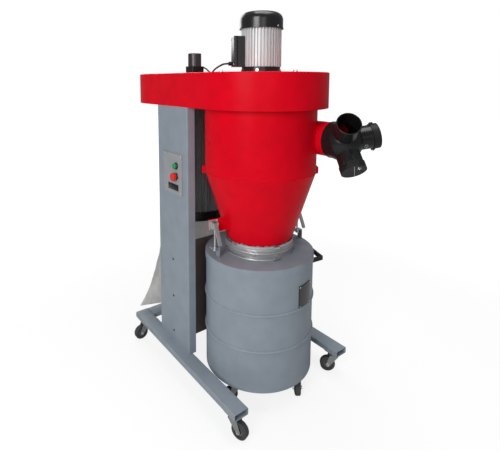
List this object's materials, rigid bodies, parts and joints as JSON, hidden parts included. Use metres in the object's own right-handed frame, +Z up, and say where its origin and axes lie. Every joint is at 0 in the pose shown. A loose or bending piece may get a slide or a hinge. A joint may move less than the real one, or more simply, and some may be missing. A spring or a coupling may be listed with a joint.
{
  "type": "mobile cyclone dust extractor",
  "caption": "Mobile workshop dust extractor: red cyclone under a fan housing with motor, pleated filter and bag, three-way inlet, grey rolling drum and castor frame.",
  "frame": {"origin": "floor point under the vertical axis of the cyclone and the drum", "axes": "+Z up, -Y towards the open front of the legs, +X to the inlet side"},
  "size_m": [0.729, 1.2983, 1.72],
  "materials": {
    "red_paint": "smooth gloss powder coat",
    "grey_paint": "satin powder coat",
    "dark_panel": "matt dark coat",
    "black_plastic": "moulded, slightly glossy",
    "motor_black": "gloss black",
    "motor_aluminium": "extruded fins",
    "cleaner_grey": "satin",
    "cable_sheath": "matt",
    "filter_media": "pleated felt",
    "bag_film": "thin milky film",
    "hose_film": "silvery wrinkled film",
    "bright_steel": "zinc plated",
    "window_pane": "smoked clear plastic",
    "control_plate": "light grey coat",
    "green_plastic": "moulded",
    "red_plastic": "moulded",
    "castor_steel": "zinc plated pressing",
    "castor_rubber": "solid tread"
  },
  "bodies": {
    "root": {"fan_housing": "red_paint", "cyclone_body": "red_paint", "clamp_brackets": "red_paint", "left_leg": "grey_paint", "right_leg": "grey_paint", "rear_crossbar": "grey_paint", "left_column": "grey_paint", "right_column": "grey_paint", "dust_drum": "grey_paint", "drum_lid": "grey_paint", "cross_panel": "dark_panel", "inlet_adapter": "black_plastic", "side_port_cap": "black_plastic", "lower_port_cap": "black_plastic", "terminal_box": "black_plastic", "cleaner_base": "black_plastic", "filter_band": "black_plastic", "drum_handle": "black_plastic", "motor_flange": "motor_black", "motor_fan_cover": "motor_black", "motor_body": "motor_aluminium", "cleaner_motor": "cleaner_grey", "motor_cable": "cable_sheath", "filter_cartridge": "filter_media", "dust_bag": "bag_film", "flexible_hose": "hose_film", "hose_clamps": "bright_steel", "toggle_clamps": "bright_steel", "sight_window": "window_pane", "control_panel": "control_plate", "frame_castor_plates": "castor_steel", "drum_castor_plates": "castor_steel"},
    "frame_front_left_fork": {"frame_front_left_fork": "castor_steel"},
    "frame_front_left_wheel": {"frame_front_left_wheel": "castor_rubber"},
    "frame_front_right_fork": {"frame_front_right_fork": "castor_steel"},
    "frame_front_right_wheel": {"frame_front_right_wheel": "castor_rubber"},
    "frame_rear_left_fork": {"frame_rear_left_fork": "castor_steel"},
    "frame_rear_left_wheel": {"frame_rear_left_wheel": "castor_rubber"},
    "frame_rear_right_fork": {"frame_rear_right_fork": "castor_steel"},
    "frame_rear_right_wheel": {"frame_rear_right_wheel": "castor_rubber"},
    "drum_front_fork": {"drum_front_fork": "castor_steel"},
    "drum_front_wheel": {"drum_front_wheel": "castor_rubber"},
    "drum_right_fork": {"drum_right_fork": "castor_steel"},
    "drum_right_wheel": {"drum_right_wheel": "castor_rubber"},
    "drum_back_fork": {"drum_back_fork": "castor_steel"},
    "drum_back_wheel": {"drum_back_wheel": "castor_rubber"},
    "drum_left_fork": {"drum_left_fork": "castor_steel"},
    "drum_left_wheel": {"drum_left_wheel": "castor_rubber"},
    "start_button": {"start_button": "green_plastic"},
    "stop_button": {"stop_button": "red_plastic"}
  },
  "joints": [
    {"name": "frame_front_left_swivel", "type": "hinge", "parent": "root", "child": "frame_front_left_fork", "pos_m": [-0.311, -0.208, 0.036], "axis": [0, 0, 1], "continuous": true},
    {"name": "frame_front_left_spin", "type": "hinge", "parent": "frame_front_left_fork", "child": "frame_front_left_wheel", "pos_m": [-0.30235, -0.23463, 0.036], "axis": [0.9511, 0.309, 0], "continuous": true},
    {"name": "frame_front_right_swivel", "type": "hinge", "parent": "root", "child": "frame_front_right_fork", "pos_m": [0.311, -0.208, 0.036], "axis": [0, 0, 1], "continuous": true},
    {"name": "frame_front_right_spin", "type": "hinge", "parent": "frame_front_right_fork", "child": "frame_front_right_wheel", "pos_m": [0.29052, -0.1889, 0.036], "axis": [-0.682, -0.7314, 0], "continuous": true},
    {"name": "frame_rear_left_swivel", "type": "hinge", "parent": "root", "child": "frame_rear_left_fork", "pos_m": [-0.311, 0.59, 0.036], "axis": [0, 0, 1], "continuous": true},
    {"name": "frame_rear_left_spin", "type": "hinge", "parent": "frame_rear_left_fork", "child": "frame_rear_left_wheel", "pos_m": [-0.339, 0.59, 0.036], "axis": [0, -1, 0], "continuous": true},
    {"name": "frame_rear_right_swivel", "type": "hinge", "parent": "root", "child": "frame_rear_right_fork", "pos_m": [0.311, 0.59, 0.036], "axis": [0, 0, 1], "continuous": true},
    {"name": "frame_rear_right_spin", "type": "hinge", "parent": "frame_rear_right_fork", "child": "frame_rear_right_wheel", "pos_m": [0.32584, 0.61374, 0.036], "axis": [-0.848, 0.5299, 0], "continuous": true},
    {"name": "drum_front_swivel", "type": "hinge", "parent": "root", "child": "drum_front_fork", "pos_m": [0.06609, -0.19194, 0.033], "axis": [0, 0, 1], "continuous": true},
    {"name": "drum_front_spin", "type": "hinge", "parent": "drum_front_fork", "child": "drum_front_wheel", "pos_m": [0.05165, -0.21111, 0.033], "axis": [0.7986, -0.6018, 0], "continuous": true},
    {"name": "drum_right_swivel", "type": "hinge", "parent": "root", "child": "drum_right_fork", "pos_m": [0.19194, 0.06609, 0.033], "axis": [0, 0, 1], "continuous": true},
    {"name": "drum_right_spin", "type": "hinge", "parent": "drum_right_fork", "child": "drum_right_wheel", "pos_m": [0.21272, 0.05409, 0.033], "axis": [0.5, 0.866, 0], "continuous": true},
    {"name": "drum_back_swivel", "type": "hinge", "parent": "root", "child": "drum_back_fork", "pos_m": [-0.06609, 0.19194, 0.033], "axis": [0, 0, 1], "continuous": true},
    {"name": "drum_back_spin", "type": "hinge", "parent": "drum_back_fork", "child": "drum_back_wheel", "pos_m": [-0.05988, 0.21512, 0.033], "axis": [-0.9659, 0.2588, 0], "continuous": true},
    {"name": "drum_left_swivel", "type": "hinge", "parent": "root", "child": "drum_left_fork", "pos_m": [-0.19194, -0.06609, 0.033], "axis": [0, 0, 1], "continuous": true},
    {"name": "drum_left_spin", "type": "hinge", "parent": "drum_left_fork", "child": "drum_left_wheel", "pos_m": [-0.21449, -0.05788, 0.033], "axis": [-0.342, -0.9397, 0], "continuous": true},
    {"name": "start_button_press", "type": "slide", "parent": "root", "child": "start_button", "axis": [1, 0, 0], "range_m": [0, 0.003], "stiffness_N_per_m": 800},
    {"name": "stop_button_press", "type": "slide", "parent": "root", "child": "stop_button", "axis": [1, 0, 0], "range_m": [0, 0.004], "stiffness_N_per_m": 800}
  ]
}
